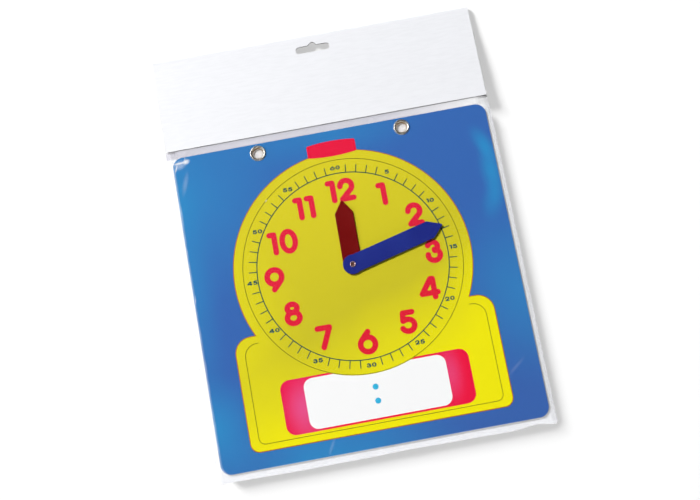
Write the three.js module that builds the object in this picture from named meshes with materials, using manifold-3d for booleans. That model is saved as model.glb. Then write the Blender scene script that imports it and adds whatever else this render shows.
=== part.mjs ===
// A classroom demonstration clock: a square laminated board with a printed clock face, two
// plastic hands on a hollow rivet and two hanging eyelets, in its clear bag with a header card.
// Millimetres, +Z out of the clock's face, +Y towards twelve o'clock. The origin is under the
// middle of the board, on the flat underside that the packed clock lies on.
import * as THREE from "three";
import { mergeVertices } from "three/addons/utils/BufferGeometryUtils.js";
import Module from "manifold-3d";

const wasm = await Module();
wasm.setup();

// Board
const board_side = 305;
const board_corner_radius = 10;
const core_thickness = 1.8;
const sheet_thickness = 0.3;
const ink_thickness = 0.06;

// Clearances, shared by every piece
const seat_gap = 0.3;
const hand_play = 0.15;
const ink_gap = 0.3;
const curve_tolerance = 0.06;
const merge_distance = 0.0001;
const cut_overrun = 1;
const fewest_arc_steps = 3;
const fewest_spokes = 24;

// Printed dial
const disc_side_margin = 40.4;
const disc_top_margin = 21.3;
const disc_margin = 8.4;
const rim_line_width = 0.5;
const minute_track_width = 13.3;
const minute_ring_line_width = 0.95;
const tick_length = 7.7;
const tick_width = 0.9;
const numeral_circle_share = 0.8186;
const numeral_height_share = 0.3095;
const numeral_stroke_share = 0.234;
const numeral_spacing_share = 0.074;
const outline_width = 0.8;
const minutes_on_dial = 60;
const minutes_per_numeral = 5;

// Order of the printed layers on the board's face, from the board outwards
const outline_layer = 1;
const body_layer = 2;
const line_layer = 3;
const panel_layer = 4;
const colon_layer = 5;

// Printed base with its write-on window
const base_side_margin = 30.8;
const base_bottom_margin = 15.85;
const base_drop = 50;
const base_shoulder_radius = 15;
const base_corner_radius = 8;
const base_line_inset = 8;
const base_line_bottom_inset = 6;
const base_line_top_inset = 6.8;
const base_line_width = 0.5;
const base_line_corner_radius = 6;
const base_line_end_length = 2;
const window_side_margin = 33.35;
const window_offset = 1.2;
const window_bottom_margin = 8.8;
const window_dial_overlap = 7.9;
const window_corner_radius = 9;
const window_end_border = 21.75;
const window_edge_border = 1.9;
const panel_corner_radius = 8.5;
const colon_dot_diameter = 5.6;
const colon_spacing = 13.1;
const colon_drop = 3;

// Printed bell button on top of the dial
const bell_width = 47;
const bell_side_height = 11.9;
const bell_crown = 1.8;
const bell_corner_radius = 1.6;

// Hands
const hand_thickness = 0.9;
const hand_width = 17.4;
const hand_end_swell = 0.7;
const hand_point_length = 13;
const hand_tip_radius = 1.2;
const hour_hand_gap = 10.3;
const minute_hand_overlap = 2.6;
const hour_hand_degrees = 0.6;
const minute_hand_degrees = 76;

// Pivot rivet and its washers
const rivet_hole_diameter = 3.4;
const rivet_wall = 0.45;
const rivet_flange_diameter = 6.3;
const rivet_flange_height = 0.6;
const rivet_clearance = 0.3;
const pivot_washer_diameter = 9.4;
const lower_washer_thickness = 0.5;
const upper_washer_thickness = 0.3;
const back_washer_thickness = 0.5;

// Hanging eyelets
const eyelet_spacing = 140;
const eyelet_top_margin = 9.3;
const eyelet_hole_diameter = 10;
const eyelet_wall = 0.6;
const eyelet_flange_diameter = 15.7;
const eyelet_flange_height = 1.3;
const eyelet_clearance = 0.2;

// Bag and header card
const film_thickness = 0.1;
const bag_side_gap = 0.7;
const bag_wall_lean = 2.3;
const bag_seal_width = 2;
const bag_bottom_margin = 7.5;
const bag_slot_gap = 9.2;
const hand_sweep_margin = 6.5;
const bag_closed_length = 4;
const bag_closed_gap = 0.1;
const header_gap = 7.5;
const header_side_inset = 1;
const header_height = 92.5;
const card_thickness = 0.35;
const tape_width = 12;
const tape_end_margin = 20;
const slot_width = 33.5;
const slot_height = 7;
const slot_top_margin = 10.3;
const slot_bump_width = 11;
const slot_bump_height = 3.5;
const slot_bump_radius = 2;

// Stroke centrelines of the digits, as shares of the numeral height. A line is a list of points;
// an arc is [centre x, centre y, radius across, radius up, from degrees, to degrees].
const digit_shares = {
  0: [{ ring: [0, 0, 0.268, 0.414] }],
  1: [{ line: [[-0.18, 0.376], [0, 0.376]] }, { line: [[0, 0.376], [0, -0.384]] }],
  2: [
    { arc: [0, 0.145, 0.246, 0.246, 175, -38] },
    { line: [[0.194, -0.006], [-0.22, -0.384]] },
    { line: [[-0.22, -0.384], [0.25, -0.384]] },
  ],
  3: [
    { arc: [-0.01, 0.196, 0.205, 0.19, 156, -72] },
    { arc: [0, -0.157, 0.247, 0.232, 80, -192] },
  ],
  4: [
    { line: [[0.33, -0.195], [-0.31, -0.195]] },
    { line: [[-0.31, -0.195], [0.11, 0.384]] },
    { line: [[0.11, 0.384], [0.2, 0.384]] },
    { line: [[0.2, 0.384], [0.2, -0.384]] },
  ],
  5: [
    { line: [[0.225, 0.384], [-0.15, 0.384]] },
    { line: [[-0.15, 0.384], [-0.19, 0.06]] },
    { arc: [-0.01, -0.139, 0.26, 0.245, 122, -155] },
  ],
  6: [
    { ring: [0, -0.115, 0.3, 0.3] },
    { line: [[-0.22, 0.09], [0.077, 0.405]] },
  ],
  7: [
    { line: [[-0.245, 0.388], [0.245, 0.388]] },
    { line: [[0.245, 0.388], [-0.1, -0.4]] },
  ],
  8: [{ ring: [0, 0.225, 0.2, 0.17] }, { ring: [0, -0.173, 0.257, 0.228] }],
  9: [
    { ring: [0, 0.115, 0.3, 0.3] },
    { line: [[0.22, -0.09], [-0.077, -0.405]] },
  ],
};

// Places of the hour numerals, as shares of the numeral circle's radius.
const hour_place_shares = {
  1: [0.531, 0.845],
  2: [0.893, 0.505],
  3: [1.04, -0.015],
  4: [0.893, -0.476],
  5: [0.549, -0.846],
  6: [0.004, -1],
  7: [-0.512, -0.849],
  8: [-0.855, -0.48],
  9: [-1.007, -0.008],
  10: [-0.826, 0.453],
  11: [-0.48, 0.845],
  12: [0.02, 0.988],
};

// Heights of the layers, from the underside up
const eyelet_back = film_thickness + seat_gap;
const board_back = eyelet_back + back_washer_thickness;
const core_back = board_back + sheet_thickness;
const core_front = core_back + core_thickness;
const board_front = core_front + sheet_thickness;
const ink_level = (layer) => board_front + layer * ink_thickness;
const lower_washer_back = ink_level(body_layer);
const hour_hand_back = lower_washer_back + lower_washer_thickness + hand_play;
const upper_washer_back = hour_hand_back + hand_thickness + hand_play;
const minute_hand_back = upper_washer_back + upper_washer_thickness + hand_play;
const rivet_flange_back = minute_hand_back + hand_thickness + hand_play;
const rivet_top = rivet_flange_back + rivet_flange_height;
const bag_crown = rivet_top + seat_gap;

// Places worked out from the sizes
const half_board = board_side / 2;
const disc_radius = half_board - disc_side_margin;
const dial_centre_height = half_board - disc_top_margin - disc_radius;
const rim_line_radius = disc_radius - disc_margin;
const minute_ring_radius = rim_line_radius - minute_track_width;
const numeral_radius = minute_ring_radius * numeral_circle_share;
const numeral_height = numeral_radius * numeral_height_share;
const numeral_stroke = numeral_height * numeral_stroke_share;
const numeral_spacing = numeral_height * numeral_spacing_share;
const hour_hand_length = numeral_radius - hour_hand_gap;
const minute_hand_length = minute_ring_radius + minute_hand_overlap;
const base_width = board_side - 2 * base_side_margin;
const base_bottom = -half_board + base_bottom_margin;
const base_top = dial_centre_height - base_drop;
const window_width = base_width - 2 * window_side_margin;
const window_bottom = base_bottom + window_bottom_margin;
const window_top = dial_centre_height - rim_line_radius + window_dial_overlap;
const window_height = window_top - window_bottom;
const window_middle = (window_top + window_bottom) / 2;
const rivet_radius = rivet_hole_diameter / 2 + rivet_wall;
const pivot_bore_radius = rivet_radius + rivet_clearance;
const eyelet_barrel_radius = eyelet_hole_diameter / 2 + eyelet_wall;
const eyelet_bore_radius = eyelet_barrel_radius + eyelet_clearance;
const eyelet_height_on_board = half_board - eyelet_top_margin;
const header_bottom = half_board + header_gap;
const header_top = header_bottom + header_height;
const slot_bottom = header_top - slot_top_margin - slot_height;
const bag_half_width = half_board + bag_side_gap + bag_wall_lean + bag_seal_width;
const header_width = 2 * (bag_half_width - header_side_inset);
const bag_mouth = -half_board - bag_bottom_margin;
const bag_top = slot_bottom - bag_slot_gap;

// Colours as they look in plain light
const finishes = {
  chipboard: { color: "#b9ab8f", roughness: 0.9, metalness: 0 },
  blue_laminate: { color: "#3b72b8", roughness: 0.3, metalness: 0 },
  white_laminate: { color: "#f4f4f2", roughness: 0.35, metalness: 0 },
  yellow_print: { color: "#e3d22c", roughness: 0.3, metalness: 0 },
  orange_print: { color: "#a8702c", roughness: 0.3, metalness: 0 },
  red_print: { color: "#dc2843", roughness: 0.3, metalness: 0 },
  white_print: { color: "#f8f8fa", roughness: 0.25, metalness: 0 },
  cyan_print: { color: "#35aee0", roughness: 0.3, metalness: 0 },
  teal_print: { color: "#2f6f5c", roughness: 0.3, metalness: 0 },
  red_plastic: { color: "#761318", roughness: 0.35, metalness: 0 },
  blue_plastic: { color: "#2b3687", roughness: 0.35, metalness: 0 },
  nickel: { color: "#cfc8ba", roughness: 0.3, metalness: 1 },
  fibre_washer: { color: "#e8e6e0", roughness: 0.6, metalness: 0 },
  white_card: { color: "#f3f4f8", roughness: 0.5, metalness: 0 },
  clear_film: { color: "#eef2f6", roughness: 0.1, metalness: 0, opacity: 0.25, transparent: true },
  tape: { color: "#e6e4da", roughness: 0.6, metalness: 0 },
};

const radians = THREE.MathUtils.degToRad;

// Points of an arc, close enough together for the curve tolerance.
function arc(centre_x, centre_y, radius, from_degrees, to_degrees, radius_up = radius) {
  const sharpest = Math.max(radius, radius_up, curve_tolerance);
  const step = 2 * Math.acos(1 - curve_tolerance / sharpest);
  const sweep = radians(to_degrees - from_degrees);
  const count = Math.max(fewest_arc_steps, Math.ceil(Math.abs(sweep) / step));
  const points = [];
  for (let i = 0; i <= count; i++) {
    const angle = radians(from_degrees) + (sweep * i) / count;
    const x = centre_x + radius * Math.cos(angle);
    const y = centre_y + radius_up * Math.sin(angle);
    points.push(new THREE.Vector2(x, y));
  }
  return points;
}

function circle(centre_x, centre_y, radius, radius_up = radius) {
  return arc(centre_x, centre_y, radius, 0, 360, radius_up).slice(0, -1);
}

// An outline from corners [x, y, radius], each corner rounded by its own radius.
function rounded(corners) {
  return corners.flatMap(([x, y, radius], i) => {
    const corner = new THREE.Vector2(x, y);
    if (!radius) return [corner];
    const [before_x, before_y] = corners[(i + corners.length - 1) % corners.length];
    const [after_x, after_y] = corners[(i + 1) % corners.length];
    const back = new THREE.Vector2(before_x - x, before_y - y).normalize();
    const ahead = new THREE.Vector2(after_x - x, after_y - y).normalize();
    const half_angle = Math.acos(THREE.MathUtils.clamp(back.dot(ahead), -1, 1)) / 2;
    const middle = back.clone().add(ahead).normalize();
    const centre = corner.clone().addScaledVector(middle, radius / Math.sin(half_angle));
    const start = corner.clone().addScaledVector(back, radius / Math.tan(half_angle)).sub(centre);
    const end = corner.clone().addScaledVector(ahead, radius / Math.tan(half_angle)).sub(centre);
    const from = THREE.MathUtils.radToDeg(start.angle());
    let sweep = THREE.MathUtils.radToDeg(end.angle()) - from;
    if (sweep > 180) sweep -= 360;
    if (sweep < -180) sweep += 360;
    return arc(centre.x, centre.y, radius, from, from + sweep);
  });
}

function roundedRectangle(middle_x, middle_y, width, height, radius) {
  const right = middle_x + width / 2;
  const left = middle_x - width / 2;
  const top = middle_y + height / 2;
  const bottom = middle_y - height / 2;
  return rounded([
    [right, bottom, radius],
    [right, top, radius],
    [left, top, radius],
    [left, bottom, radius],
  ]);
}

// A flat piece with straight sides: an outline with holes, from one height to another.
function plate(outline, holes, back, front) {
  const shape = new THREE.Shape(outline);
  shape.holes = holes.map((points) => new THREE.Path(points));
  const geometry = new THREE.ExtrudeGeometry(shape, { depth: front - back, bevelEnabled: false });
  return geometry.translate(0, 0, back);
}

function ink(outline, holes, layer) {
  return plate(outline, holes, ink_level(layer - 1), ink_level(layer));
}

// A turned piece: a closed profile of [radius, height] spun about the Z axis.
function turned(profile, centre_x, centre_y) {
  const points = profile.map(([radius, height]) => new THREE.Vector2(radius, height));
  const widest = Math.max(...points.map((point) => point.x));
  const spokes = Math.ceil(Math.PI / Math.acos(1 - curve_tolerance / widest));
  const turns = Math.max(fewest_spokes, spokes);
  const geometry = new THREE.LatheGeometry([...points, points[0]], turns);
  return geometry.rotateX(Math.PI / 2).translate(centre_x, centre_y, 0);
}

function solid(geometry) {
  const bare = geometry.clone();
  bare.deleteAttribute("normal");
  bare.deleteAttribute("uv");
  const merged = mergeVertices(bare, merge_distance);
  return new wasm.Manifold(
    new wasm.Mesh({
      numProp: 3,
      vertProperties: new Float32Array(merged.attributes.position.array),
      triVerts: new Uint32Array(merged.index.array),
    }),
  );
}

function geometryOf(manifold) {
  const mesh = manifold.getMesh();
  const geometry = new THREE.BufferGeometry();
  geometry.setAttribute("position", new THREE.BufferAttribute(mesh.vertProperties, 3));
  geometry.setIndex(new THREE.BufferAttribute(mesh.triVerts, 1));
  const facets = geometry.toNonIndexed();
  facets.computeVertexNormals();
  return facets;
}

function joined(geometries) {
  return geometryOf(geometries.map(solid).reduce((whole, piece) => whole.add(piece)));
}

function cut(geometry, cutter) {
  return geometryOf(solid(geometry).subtract(solid(cutter)));
}

// The outline of a round-ended stroke along a centreline.
function strokeOutline(centreline, width) {
  const half = width / 2;
  const sides = centreline.map((point, i) => {
    const before = centreline[Math.max(0, i - 1)];
    const after = centreline[Math.min(centreline.length - 1, i + 1)];
    const along = after.clone().sub(before).normalize();
    return new THREE.Vector2(-along.y, along.x).multiplyScalar(half);
  });
  const left = centreline.map((point, i) => point.clone().add(sides[i]));
  const right = centreline.map((point, i) => point.clone().sub(sides[i])).reverse();
  const last = centreline.length - 1;
  const end_angle = THREE.MathUtils.radToDeg(sides[last].angle());
  const start_angle = THREE.MathUtils.radToDeg(sides[0].angle());
  const end_cap = arc(centreline[last].x, centreline[last].y, half, end_angle, end_angle - 180);
  const start_cap = arc(centreline[0].x, centreline[0].y, half, start_angle + 180, start_angle);
  return [...left, ...end_cap.slice(1, -1), ...right, ...start_cap.slice(1, -1)].reverse();
}

// One digit as a solid print, centred on its cell's middle height and on its own width.
function digitGeometry(digit, layer) {
  const size = numeral_height;
  const pieces = digit_shares[digit].map(({ line, arc: bow, ring }) => {
    if (ring) {
      const [x, y, across, up] = ring.map((share) => share * size);
      const half = numeral_stroke / 2;
      const hole = circle(x, y, across - half, up - half);
      return ink(circle(x, y, across + half, up + half), [hole], layer);
    }
    if (bow) {
      const [x, y, across, up] = bow.slice(0, 4).map((share) => share * size);
      return ink(strokeOutline(arc(x, y, across, bow[4], bow[5], up), numeral_stroke), [], layer);
    }
    const points = line.map(([x, y]) => new THREE.Vector2(x * size, y * size));
    return ink(strokeOutline(points, numeral_stroke), [], layer);
  });
  const geometry = joined(pieces);
  geometry.computeBoundingBox();
  const { min, max } = geometry.boundingBox;
  geometry.translate(-(min.x + max.x) / 2, 0, 0);
  return { geometry, width: max.x - min.x };
}

// The silhouette of the printed clock: a disc that stands on a base with round shoulders.
function clockOutline(grow) {
  const half = base_width / 2 + grow;
  const bottom = base_bottom - grow;
  const top = base_top + grow;
  const radius = disc_radius + grow;
  const notch = Math.sqrt(radius ** 2 - (dial_centre_height - top) ** 2);
  const notch_degrees = THREE.MathUtils.radToDeg(Math.atan2(top - dial_centre_height, notch));
  const corner = base_corner_radius + grow;
  const shoulder = Math.min(base_shoulder_radius + grow, half - notch);
  const right_side = rounded([
    [0, bottom, 0],
    [half, bottom, corner],
    [half, top, shoulder],
    [notch, top, 0],
  ]).slice(1, -1);
  const left_side = rounded([
    [-notch, top, 0],
    [-half, top, shoulder],
    [-half, bottom, corner],
    [0, bottom, 0],
  ]).slice(1, -1);
  const disc = arc(0, dial_centre_height, radius, notch_degrees, 180 - notch_degrees);
  return [...right_side, ...disc, ...left_side];
}

const clock = new THREE.Group();

function material(finish) {
  return new THREE.MeshStandardMaterial(finishes[finish]);
}

function addPiece(name, geometry, finish, parent = clock) {
  const mesh = new THREE.Mesh(geometry, material(finish));
  mesh.name = name;
  parent.add(mesh);
  return mesh;
}

const pivot_hole = circle(0, dial_centre_height, pivot_bore_radius);

// Board: a chipboard core between a printed front sheet and a plain back sheet.
function boardLayer(back, front) {
  const eyelet_holes = [-1, 1].map((side) =>
    circle((side * eyelet_spacing) / 2, eyelet_height_on_board, eyelet_bore_radius),
  );
  const outline = roundedRectangle(0, 0, board_side, board_side, board_corner_radius);
  return plate(outline, [...eyelet_holes, pivot_hole], back, front);
}
addPiece("board_core", boardLayer(core_back, core_front), "chipboard");
addPiece("front_sheet", boardLayer(core_front, board_front), "blue_laminate");
addPiece("back_sheet", boardLayer(board_back, core_back), "white_laminate");

// Printed clock: a thin outline, the yellow body on it, and the bell button across its top.
const outline_print = ink(clockOutline(outline_width), [pivot_hole], outline_layer);
addPiece("clock_outline_print", outline_print, "orange_print");
const body_print = ink(clockOutline(0), [pivot_hole], body_layer);
addPiece("clock_body_print", body_print, "yellow_print");

function bellOutline() {
  const half = bell_width / 2;
  const foot = dial_centre_height + Math.sqrt(disc_radius ** 2 - half ** 2);
  const head = foot + bell_side_height;
  const bow_radius = (half ** 2 + bell_crown ** 2) / (2 * bell_crown);
  const bow_degrees = THREE.MathUtils.radToDeg(Math.asin(half / bow_radius));
  const lower_middle = foot - bell_crown + bow_radius;
  const upper_middle = head + bell_crown - bow_radius;
  const lower = arc(0, lower_middle, bow_radius, -90 - bow_degrees, -90 + bow_degrees);
  const upper = arc(0, upper_middle, bow_radius, 90 - bow_degrees, 90 + bow_degrees);
  const corners = [...lower, ...upper].map(({ x, y }) => {
    const at_side = Math.abs(Math.abs(x) - half) < curve_tolerance;
    return [x, y, at_side ? bell_corner_radius : 0];
  });
  return rounded(corners);
}
addPiece("bell_button_print", ink(bellOutline(), [], line_layer), "red_print");

// Minute track: a thin rim line, and a ring with four ticks between each five-minute place.
function minuteTrack() {
  const half = minute_ring_line_width / 2;
  const outer = circle(0, dial_centre_height, minute_ring_radius + half);
  const inner = circle(0, dial_centre_height, minute_ring_radius - half);
  const pieces = [ink(outer, [inner], line_layer)];
  const tick_middle = minute_ring_radius + tick_length / 2;
  const tick_outline = roundedRectangle(0, tick_middle, tick_width, tick_length, 0);
  for (let minute = 0; minute < minutes_on_dial; minute++) {
    if (minute % minutes_per_numeral === 0) continue;
    const tick = ink(tick_outline, [], line_layer);
    tick.rotateZ(radians((-360 * minute) / minutes_on_dial));
    pieces.push(tick.translate(0, dial_centre_height, 0));
  }
  return joined(pieces);
}
addPiece("minute_track_print", minuteTrack(), "teal_print");

const rim_outer = circle(0, dial_centre_height, rim_line_radius + rim_line_width / 2);
const rim_inner = circle(0, dial_centre_height, rim_line_radius - rim_line_width / 2);
addPiece("dial_rim_line_print", ink(rim_outer, [rim_inner], line_layer), "orange_print");

// Base line: a thin line inside the base's edge, open at the top where the dial stands.
function baseLine() {
  const half = base_width / 2 - base_line_inset;
  const bottom = base_bottom + base_line_bottom_inset;
  const top = base_top - base_line_top_inset;
  const radius = base_line_corner_radius;
  const start = half - 2 * radius - base_line_end_length;
  const path = rounded([
    [start, top, 0],
    [half, top, 2 * radius],
    [half, bottom, radius],
    [-half, bottom, radius],
    [-half, top, 2 * radius],
    [-start, top, 0],
  ]);
  return ink(strokeOutline(path, base_line_width), [], line_layer);
}
addPiece("base_line_print", baseLine(), "orange_print");

// Window: a red frame, the white write-on panel on it and the colon; the dial covers its top.
function windowPrint(width, height, radius, layer) {
  const outline = roundedRectangle(window_offset, window_middle, width, height, radius);
  const clear_radius = rim_line_radius + rim_line_width / 2 + ink_gap;
  const dial = circle(0, dial_centre_height, clear_radius);
  const back = ink_level(layer - 1) - cut_overrun;
  const cutter = plate(dial, [], back, ink_level(layer) + cut_overrun);
  return cut(ink(outline, [], layer), cutter);
}
const frame_size = [window_width, window_height, window_corner_radius];
addPiece("window_frame_print", windowPrint(...frame_size, line_layer), "red_print");
const panel_width = window_width - 2 * window_end_border;
const panel_height = window_height - 2 * window_edge_border;
const panel_size = [panel_width, panel_height, panel_corner_radius];
addPiece("write_on_panel_print", windowPrint(...panel_size, panel_layer), "white_print");
for (const [name, side] of [["upper", 1], ["lower", -1]]) {
  const height = window_middle - colon_drop / 2 + (side * colon_spacing) / 2;
  const dot = circle(0, height, colon_dot_diameter / 2);
  addPiece(`colon_dot_${name}_print`, ink(dot, [], colon_layer), "cyan_print");
}

// Hour numerals: each digit is its own print, set out about its place on the numeral circle.
for (const [hour, [across, up]] of Object.entries(hour_place_shares)) {
  const digits = [...hour].map((digit) => digitGeometry(digit, line_layer));
  const width = digits.reduce((sum, digit) => sum + digit.width, 0);
  const whole = width + numeral_spacing * (digits.length - 1);
  let left = across * numeral_radius - whole / 2;
  digits.forEach((digit, i) => {
    const place = digits.length === 1 ? "" : ["_tens", "_units"][i];
    const middle = left + digit.width / 2;
    digit.geometry.translate(middle, dial_centre_height + up * numeral_radius, 0);
    addPiece(`numeral_${hour}${place}`, digit.geometry, "red_print");
    left += digit.width + numeral_spacing;
  });
}

// Hands: flat blades with a round end on the rivet and a point.
function handOutline(length) {
  const half = hand_width / 2;
  const end_radius = half + hand_end_swell;
  const root_degrees = THREE.MathUtils.radToDeg(Math.acos(half / end_radius));
  const shoulder = length - hand_point_length;
  const blade = rounded([
    [half, 0, 0],
    [half, shoulder, 0],
    [0, length, hand_tip_radius],
    [-half, shoulder, 0],
    [-half, 0, 0],
  ]).slice(1, -1);
  return [...blade, ...arc(0, 0, end_radius, 180 - root_degrees, 360 + root_degrees)];
}

function addHand(name, length, back, degrees, finish) {
  const bore = circle(0, 0, pivot_bore_radius);
  const pivot = new THREE.Group();
  pivot.position.set(0, dial_centre_height, back);
  pivot.rotation.z = radians(-degrees);
  clock.add(pivot);
  addPiece(name, plate(handOutline(length), [bore], 0, hand_thickness), finish, pivot);
}
addHand("hour_hand", hour_hand_length, hour_hand_back, hour_hand_degrees, "red_plastic");
addHand("minute_hand", minute_hand_length, minute_hand_back, minute_hand_degrees, "blue_plastic");

// Washers on the pivot: under the hour hand, between the hands, and behind the board.
function washer(x, y, diameter, hole_radius, back, thickness) {
  return plate(circle(x, y, diameter / 2), [circle(x, y, hole_radius)], back, back + thickness);
}
const pivot_washers = [
  ["pivot_washer_lower", lower_washer_back, lower_washer_thickness, "fibre_washer"],
  ["pivot_washer_upper", upper_washer_back, upper_washer_thickness, "fibre_washer"],
  ["pivot_washer_back", eyelet_back, back_washer_thickness, "nickel"],
];
for (const [name, back, thickness, finish] of pivot_washers) {
  const across = [pivot_washer_diameter, pivot_bore_radius];
  addPiece(name, washer(0, dial_centre_height, ...across, back, thickness), finish);
}

// A hollow rivet or eyelet: a barrel with a rounded flange on its front end.
function eyeletProfile(hole_radius, barrel_radius, flange_radius, back, seat, height) {
  const crown_middle = (hole_radius + flange_radius) / 2;
  const crown_half = (flange_radius - hole_radius) / 2;
  const crown = arc(crown_middle, seat, crown_half, 0, 180, height);
  return [
    [barrel_radius, back],
    [barrel_radius, seat],
    ...crown.map(({ x, y }) => [x, y]),
    [hole_radius, back],
  ];
}

const rivet_profile = eyeletProfile(
  rivet_hole_diameter / 2,
  rivet_radius,
  rivet_flange_diameter / 2,
  eyelet_back,
  rivet_flange_back,
  rivet_flange_height,
);
addPiece("pivot_rivet", turned(rivet_profile, 0, dial_centre_height), "nickel");

for (const [side_name, side] of [["left", -1], ["right", 1]]) {
  const x = (side * eyelet_spacing) / 2;
  const y = eyelet_height_on_board;
  const profile = eyeletProfile(
    eyelet_hole_diameter / 2,
    eyelet_barrel_radius,
    eyelet_flange_diameter / 2,
    eyelet_back,
    board_front,
    eyelet_flange_height,
  );
  addPiece(`hanging_eyelet_${side_name}`, turned(profile, x, y), "nickel");
  const across = [eyelet_flange_diameter, eyelet_bore_radius];
  const ring = washer(x, y, ...across, eyelet_back, back_washer_thickness);
  addPiece(`eyelet_washer_${side_name}`, ring, "nickel");
}

// A closed body through cross-sections: each is a loop of [x, z] at its own height y. Each
// four-sided face is split from its outer corner at the lower section, so that the two sides of a
// thin wall bend alike and never meet.
function loft(stations) {
  const count = stations[0].loop.length;
  const positions = stations.flatMap(({ y, loop }) => loop.flatMap(([x, z]) => [x, y, z]));
  const index = [];
  for (let s = 0; s < stations.length - 1; s++) {
    for (let i = 0; i < count; i++) {
      const loop = stations[s].loop;
      const after = (i + 1) % count;
      const here = s * count + i;
      const next = s * count + after;
      if (Math.abs(loop[after][0]) > Math.abs(loop[i][0])) {
        index.push(here, here + count, next, next, here + count, next + count);
      } else {
        index.push(here, here + count, next + count, here, next + count, next);
      }
    }
  }
  for (const last of [false, true]) {
    const first = last ? (stations.length - 1) * count : 0;
    const { loop } = stations[last ? stations.length - 1 : 0];
    const points = loop.map(([x, z]) => new THREE.Vector2(x, z));
    for (const [a, b, c] of THREE.ShapeUtils.triangulateShape(points, [])) {
      const face = last ? [a, c, b] : [a, b, c];
      index.push(...face.map((corner) => corner + first));
    }
  }
  const geometry = new THREE.BufferGeometry();
  geometry.setAttribute("position", new THREE.Float32BufferAttribute(positions, 3));
  geometry.setIndex(index);
  const facets = geometry.toNonIndexed();
  facets.computeVertexNormals();
  const no_uv = new Float32Array(facets.attributes.position.count * 2);
  facets.setAttribute("uv", new THREE.BufferAttribute(no_uv, 2));
  return facets;
}

// Bag: a back film and a front film that meet in a seal down each side. It is open at the
// bottom, and its top is tucked into the header card.
const tucked_back = card_thickness + seat_gap;
const eyelet_clear = board_front + eyelet_flange_height + seat_gap;
const header_mouth = header_bottom - card_thickness;
const hand_sweep_top = dial_centre_height + minute_hand_length + hand_sweep_margin;

const bag_top_crown = tucked_back + film_thickness + bag_closed_gap;
const bag_stations = [
  { y: bag_mouth, back: 0, crown: bag_crown },
  { y: hand_sweep_top, back: 0, crown: bag_crown },
  { y: half_board - board_corner_radius, back: 0, crown: eyelet_clear },
  { y: half_board, back: 0, crown: eyelet_clear },
  { y: header_mouth, back: tucked_back, crown: board_front + seat_gap + tucked_back },
  { y: bag_top - bag_closed_length, back: tucked_back, crown: bag_top_crown },
  { y: bag_top, back: tucked_back, crown: bag_top_crown },
];

function backFilm() {
  const w = bag_half_width;
  return loft(
    bag_stations.map(({ y, back }) => {
      const front = back + film_thickness;
      return { y, loop: [[-w, back], [w, back], [w, front], [-w, front]] };
    }),
  );
}
addPiece("bag_back_film", backFilm(), "clear_film");

function frontFilm() {
  const edge = bag_half_width;
  const seal = edge - bag_seal_width;
  const shoulder = seal - bag_wall_lean;
  const t = film_thickness;
  return loft(
    bag_stations.map(({ y, back, crown }) => {
      const foot = back + t;
      const lower = [[-edge, foot], [-seal, foot], [-shoulder, crown], [shoulder, crown]];
      const upper = [[shoulder + t, crown + t], [seal + t, foot + t], [edge, foot + t]];
      const far = [[-edge, foot + t], [-seal - t, foot + t], [-shoulder - t, crown + t]];
      const right_foot = [[seal, foot], [edge, foot]];
      return { y, loop: [...lower, ...right_foot, ...upper.reverse(), ...far.reverse()] };
    }),
  );
}
addPiece("bag_front_film", frontFilm(), "clear_film");

// Header card: one card folded at its top over the tucked end of the bag, with a hanging slot
// through both of its panels.
function headerProfile() {
  const mouth_inside = board_front + seat_gap + tucked_back + film_thickness + seat_gap;
  const fold_inside = tucked_back + 2 * film_thickness + seat_gap;
  const fold_middle = (fold_inside + card_thickness) / 2;
  const outer = fold_middle;
  const inner = outer - card_thickness;
  const fold = header_top - outer;
  return [
    new THREE.Vector2(header_bottom, 0),
    ...arc(fold, fold_middle, outer, -90, 90),
    new THREE.Vector2(header_bottom, mouth_inside + card_thickness),
    new THREE.Vector2(header_bottom, mouth_inside),
    ...arc(fold, fold_middle, inner, 90, -90),
    new THREE.Vector2(header_bottom, card_thickness),
  ];
}

function slotOutline() {
  const half = slot_width / 2;
  const bottom = slot_bottom;
  const top = slot_bottom + slot_height;
  const end_radius = slot_height / 2;
  const bump = slot_bump_width / 2;
  return rounded([
    [half, bottom, end_radius],
    [half, top, end_radius],
    [bump, top, slot_bump_radius],
    [0, top + slot_bump_height, slot_bump_radius],
    [-bump, top, slot_bump_radius],
    [-half, top, end_radius],
    [-half, bottom, end_radius],
  ]);
}

function headerCard() {
  const shape = new THREE.Shape(headerProfile());
  const card = new THREE.ExtrudeGeometry(shape, { depth: header_width, bevelEnabled: false });
  const across = new THREE.Vector3(1, 0, 0);
  const up = new THREE.Vector3(0, 1, 0);
  const out = new THREE.Vector3(0, 0, 1);
  card.applyMatrix4(new THREE.Matrix4().makeBasis(up, out, across));
  card.translate(-header_width / 2, 0, 0);
  const cutter = plate(slotOutline(), [], -cut_overrun, bag_crown + cut_overrun);
  return cut(card, cutter);
}
addPiece("header_card", headerCard(), "white_card");

// Tape: a double-sided strip that holds the bag's back film to the header's back panel.
const tape_length = header_width - 2 * tape_end_margin;
const tape_middle = (header_bottom + bag_top) / 2;
const tape_outline = roundedRectangle(0, tape_middle, tape_length, tape_width, 0);
addPiece("header_tape", plate(tape_outline, [], card_thickness, tucked_back), "tape");

export default clock;
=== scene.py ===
# %% [markdown]
# # A classroom demonstration clock in its clear bag
#
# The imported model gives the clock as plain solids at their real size: a laminated board with its
# prints, two hands on a hollow rivet, two hanging eyelets, and a clear bag under a folded header
# card. This notebook dresses that model. Flat printed parts keep their solids and get better
# surfaces. Metal, hands, card and film are modelled again, finer, in the same places.

# %% Load the frame
import math

import bpy
import numpy as np
from mathutils import Color, Matrix, Vector, noise


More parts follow.
